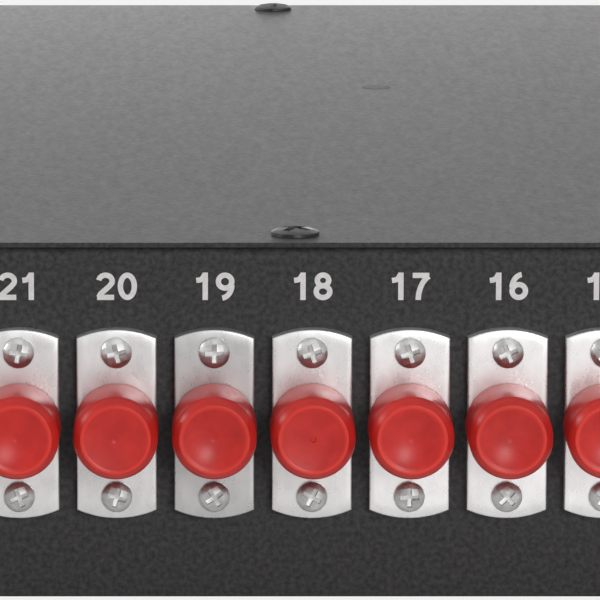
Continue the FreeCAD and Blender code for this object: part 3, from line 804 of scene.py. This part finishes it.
# dish depth and gate mark differ from cap to cap; those in the photo are as it shows them
capKinds = {
    "gated": dustCapTemplate(dish=0.30 * mm, gateDepth=0.25 * mm),
    "flat": dustCapTemplate(dish=0.24 * mm, gateDepth=0.03 * mm),
    "dished": dustCapTemplate(dish=0.90 * mm, gateDepth=0.02 * mm),
}
seenKinds = {"dust_cap_21": "dished", "dust_cap_20": "flat", "dust_cap_19": "dished",
             "dust_cap_18": "gated", "dust_cap_17": "dished", "dust_cap_16": "dished",
             "dust_cap_15": "dished"}
drawnKinds = ("flat", "dished", "gated")
capTones = (0.93, 1.05)
capRandom = np.random.default_rng(seeds["caps"])
# every cap draws a kind, a turn and a tone, so the draws don't depend on what the photo shows
for capNode in capNodes:
    kind = seenKinds.get(capNode, drawnKinds[capRandom.integers(len(drawnKinds))])
    place = portPlaces[capNode]
    spot = (outOfPanel @ spun(capRandom.uniform(0, twoPi)), np.array([place.x, capMouthY, place.z]))
    mesh = meshFromCopies("cap_" + capNode, *capKinds[kind], [spot],
                          [capRandom.uniform(*capTones)], True)
    addPiece("cap_" + capNode[len(capPrefix):], mesh, finishes["redPlastic"], capNode,
             (capNode,), dustCap["sharpAngle"])
print("caps placed:", len(capNodes))


# printed port numbers

portPrint = {
    "height": 3.42 * mm,        # of a figure
    "stroke": 0.66 * mm,
    "cell": 7.78,               # tenths of a height from one figure to the next
    "letterGap": 1.0,
    "centreZ": 16.8 * mm,
    "film": 0.016 * mm,
    "filmStep": 0.004 * mm,     # crossing strokes of a figure lie one over the other
    "mitreLimit": 0.5,          # 1 + cos of the sharpest turn that gets its full mitre
}


def bow(cx, cy, rx, ry, fromDeg, toDeg, steps):
    # part of an ellipse: x = cx + rx cos a, y = cy + ry sin a
    a = np.radians(np.linspace(fromDeg, toDeg, steps))
    return np.stack([cx + rx * np.cos(a), cy + ry * np.sin(a)], axis=1)


def line(*points):
    # straight parts from point to point
    return np.array(points, float)


# centre lines of the figures, in units of a tenth of their height; a figure is (width, strokes)
figures = {
    "0": (6.9, [(bow(3.45, 5, 2.5, 4.05, 0, 360, 37), True)]),
    "1": (7.78, [(line((4.5, 0), (4.5, 10)), False),
                 (np.concatenate([bow(1.9, 9.8, 2.35, 2.6, -12, -75, 7), line((1.3, 7.15))]), False)]),
    "2": (6.9, [(np.concatenate([bow(3.4, 6.9, 2.4, 2.15, 172, -22, 16),
                                 line((4.6, 4.9), (1.6, 2.2), (0.95, 0.97))]), False),
                (line((0.35, 0.97), (6.45, 0.97)), False)]),
    "3": (6.9, [(bow(3.3, 7.05, 2.15, 2.0, 165, -92, 18), False),
                (bow(3.3, 3.0, 2.45, 2.05, 95, -165, 18), False)]),
    "4": (7.1, [(line((4.9, 0), (4.9, 10)), False), (line((4.5, 9.3), (0.9, 3.1)), False),
                (line((0.3, 2.95), (6.8, 2.95)), False)]),
    "5": (6.9, [(line((6.2, 9.05), (1.95, 9.05)), False), (line((1.95, 9.5), (1.4, 4.8)), False),
                (bow(3.3, 3.3, 2.45, 2.35, 140, -160, 20), False)]),
    "6": (6.9, [(bow(3.5, 3.3, 2.4, 2.35, 0, 360, 31), True),
                (bow(4.9, 4.4, 3.85, 4.9, 178, 96, 12), False)]),
    "7": (6.7, [(line((0.4, 8.97), (6.35, 8.97)), False),
                (bow(8.4, -0.3, 6.0, 9.6, 111, 178, 12), False)]),
    "8": (6.9, [(bow(3.45, 7.15, 2.05, 1.95, 0, 360, 29), True),
                (bow(3.45, 3.05, 2.45, 2.15, 0, 360, 31), True)]),
    "9": (6.9, [(bow(3.4, 6.7, 2.4, 2.35, 0, 360, 31), True),
                (bow(2.0, 5.6, 3.85, 4.9, -2, -84, 12), False)]),
    "I": (2.9, [(line((1.45, 0), (1.45, 10)), False)]),
    "N": (7.4, [(line((1.0, 0), (1.0, 10)), False), (line((1.2, 9.2), (6.2, 0.8)), False),
                (line((6.4, 0), (6.4, 10)), False)]),
}


def ribbon(path, closed, half, film):
    # band of one width along a path: each point moves sideways by half / cos(half the turn)
    if closed:
        path = path[:-1]
        ahead = np.roll(path, -1, 0) - path
        behind = path - np.roll(path, 1, 0)
    else:
        step = np.diff(path, axis=0)
        ahead = np.concatenate([step, step[-1:]])
        behind = np.concatenate([step[:1], step])
    ahead = ahead / np.linalg.norm(ahead, axis=1, keepdims=True)
    behind = behind / np.linalg.norm(behind, axis=1, keepdims=True)
    side = np.stack([-(ahead + behind)[:, 1], (ahead + behind)[:, 0]], axis=1)
    side /= np.maximum(np.sum(side * side, axis=1, keepdims=True) / 2,
                       portPrint["mitreLimit"])
    left, right = path + side * half, path - side * half
    corners = [np.column_stack([edge, np.full(len(path), level)])
               for edge, level in ((left, 0), (left, film), (right, film), (right, 0))]
    band = np.stack(corners, axis=1)
    if closed:
        return [(np.concatenate([band, band[:1]]), True)]
    ends = [(np.stack([row[:2], row[:1:-1]]), False) for row in (band[0], band[-1])]
    return [(band, True)] + ends


def figureGrids(text, x):
    # strokes of a label, each figure centred in its cell and the whole centred on x
    unit = portPrint["height"] / 10
    cells = [portPrint["cell"] if c.isdigit() else figures[c][0] + portPrint["letterGap"]
             for c in text]
    pen, grids = x - sum(cells) * unit / 2, []
    for mark, cell in zip(text, cells):
        width, strokes = figures[mark]
        start = (pen + (cell - width) / 2 * unit, portPrint["centreZ"] - 5 * unit)
        for i, (path, closed) in enumerate(strokes):
            film = portPrint["film"] + i * portPrint["filmStep"]
            grids += ribbon(path * unit + start, closed, portPrint["stroke"] / 2, film)
        pen += cell * unit
    return grids


labelGrids = []
for capNode, place in portPlaces.items():
    label = capNode[len(capPrefix):]
    labelGrids += figureGrids("IN" if label == "in" else str(int(label)), place.x)
labelMesh = meshFromCopies("portNumbers", *cleanTemplate(*joinGrids(labelGrids)),
                           [(outOfPanel, np.zeros(3))])
addPiece("portNumbers", labelMesh, finishes["whiteInk"], caseBody)
print("numbers printed")


# floor, light and camera

studio = {
    "floorSize": 6.0,
    "floorColour": (0.86, 0.86, 0.86),
    "worldStrength": 0.20,
    "softboxes": [
        # name, place, aimed at, width, height, watts
        ("key", (0.36, -1.25, 0.34), (0, 0, 0), 0.42, 0.42, 6.3),
        ("above", (0.10, -0.45, 1.10), (0, 0, 0), 0.8, 0.5, 1.2),
        ("sideStrip", (-0.95, 0.03, 0.36), (0, 0, 0), 0.3, 0.4, 3.0),
        ("behind", (-0.24, 0.42, 0.044), (-0.05, 0.0, 0.022), 1.15, 0.04, 0.79),
    ],
    "sheenOnly": ("behind",),   # lights gloss alone, so it throws no pool on the floor
    # a glowing card beside the picture, seen only in gloss
    "card": {"place": (0.205, -0.16, -0.019), "width": 0.40, "depth": 0.26, "watts": 0.13},
    "floorGlow": 0.84,          # how much of the floor's white the camera sees unshaded
    "floorShine": 0.80,         # the same for mirrored and transmitted rays
    "floorRough": 0.9,
    "floorGrainPerMetre": 40.0,
    "floorBump": 0.02,
    "floorGrainHeight": 0.001,
}


def largestOf(tree, values):
    # the largest of several values, taken pair by pair
    largest = values[0]
    for value in values[1:]:
        pair = addNode(tree, "ShaderNodeMath", operation="MAXIMUM")
        tree.links.new(largest, pair.inputs[0])
        tree.links.new(value, pair.inputs[1])
        largest = pair.outputs[0]
    return largest


def paleSurface(name, colour):
    # matt and nearly white, with a barely seen grain; each kind of ray that looks at it sees
    # its share of plain white instead, and the largest share counts
    material, tree, shader = newMaterial(name)
    shader.inputs["Base Color"].default_value = (*colour, 1)
    shader.inputs["Roughness"].default_value = studio["floorRough"]
    grain = objectNoise(tree, studio["floorGrainPerMetre"])
    bumpFrom(tree, shader, grain, studio["floorBump"], studio["floorGrainHeight"])
    glow = addNode(tree, "ShaderNodeEmission", Strength=1.0)
    path = addNode(tree, "ShaderNodeLightPath")
    shares = []
    for ray, amount in (("Is Camera Ray", "floorGlow"), ("Is Glossy Ray", "floorShine"),
                        ("Is Transmission Ray", "floorShine")):
        share = addNode(tree, "ShaderNodeMath", operation="MULTIPLY")
        share.inputs[1].default_value = studio[amount]
        tree.links.new(path.outputs[ray], share.inputs[0])
        shares.append(share.outputs[0])
    blend = addNode(tree, "ShaderNodeMixShader")
    tree.links.new(largestOf(tree, shares), blend.inputs[0])
    tree.links.new(shader.outputs[0], blend.inputs[1])
    tree.links.new(glow.outputs[0], blend.inputs[2])
    tree.links.new(blend.outputs[0], tree.nodes["Material Output"].inputs["Surface"])
    return material


def buildFloor():
    # a wide square just under the object
    low = cadBounds[0].z
    half = studio["floorSize"] / 2
    mesh = bpy.data.meshes.new("floor")
    corners = [(-half, -half, low), (half, -half, low), (half, half, low), (-half, half, low)]
    mesh.from_pydata(corners, [], [(0, 1, 2, 3)])
    floor = bpy.data.objects.new("floor", mesh)
    bpy.context.scene.collection.objects.link(floor)
    mesh.materials.append(paleSurface("paleFloor", studio["floorColour"]))


def buildWorld():
    # even white surroundings; the camera, mirrors and glass see plain white
    world = bpy.data.worlds.new("studio")
    bpy.context.scene.world = world
    world.use_nodes = True
    tree = world.node_tree
    background = tree.nodes["Background"]
    background.inputs["Color"].default_value = (1, 1, 1, 1)
    path = tree.nodes.new("ShaderNodeLightPath")
    seen = largestOf(tree, [path.outputs[ray] for ray in
                            ("Is Camera Ray", "Is Glossy Ray", "Is Transmission Ray")])
    strength = tree.nodes.new("ShaderNodeMapRange")
    strength.inputs["To Min"].default_value = studio["worldStrength"]
    strength.inputs["To Max"].default_value = 1.0
    tree.links.new(seen, strength.inputs["Value"])
    tree.links.new(strength.outputs["Result"], background.inputs["Strength"])


def areaLamp(name, place, turn, width, height, watts):
    # a rectangular lamp that shines along its own -Z
    lamp = bpy.data.lights.new(name, "AREA")
    lamp.shape = "RECTANGLE"
    lamp.size, lamp.size_y = width, height
    lamp.energy = watts
    holder = bpy.data.objects.new(name, lamp)
    holder.location = place
    holder.rotation_euler = turn
    bpy.context.scene.collection.objects.link(holder)
    return holder


def buildLights():
    # soft boxes, each turned with its -Z to the point it is aimed at
    for name, place, aim, width, height, watts in studio["softboxes"]:
        turn = (Vector(aim) - Vector(place)).to_track_quat("-Z", "Y").to_euler()
        holder = areaLamp(name, place, turn, width, height, watts)
        holder.visible_diffuse = name not in studio["sheenOnly"]


def buildCard():
    # lies just over the floor in front of the right-hand ports and lights nothing matt
    card = studio["card"]
    faceUp = (math.pi, 0, 0)
    holder = areaLamp("card", card["place"], faceUp, card["width"], card["depth"], card["watts"])
    holder.visible_diffuse = False
    holder.visible_camera = False


viewpoint = {
    "place": (-0.0110, -0.6662, 0.1328),
    "pitchDown": 10.02,         # degrees
    "focalPixels": 5512.7,      # for a picture 600 pixels wide
    "axisColumn": 206.2,        # picture column of the lens axis
    "picture": 600.0,
    "sensor": 36.0,             # mm
    "nearest": 0.01,
    "farthest": 20.0,
}


def buildCamera():
    # lens = focal pixels x sensor / picture, and shift = (half picture - axis column) / picture
    camera = bpy.data.cameras.new("camera")
    camera.sensor_width = viewpoint["sensor"]
    camera.lens = viewpoint["focalPixels"] * camera.sensor_width / viewpoint["picture"]
    camera.shift_x = (viewpoint["picture"] / 2 - viewpoint["axisColumn"]) / viewpoint["picture"]
    camera.clip_start = viewpoint["nearest"]
    camera.clip_end = viewpoint["farthest"]
    holder = bpy.data.objects.new("camera", camera)
    holder.location = viewpoint["place"]
    holder.rotation_euler = (math.radians(90 - viewpoint["pitchDown"]), 0, 0)
    bpy.context.scene.collection.objects.link(holder)
    bpy.context.scene.camera = holder


buildFloor()
buildWorld()
buildLights()
buildCard()
buildCamera()
bpy.context.scene.view_settings.view_transform = "Standard"
print("studio ready")
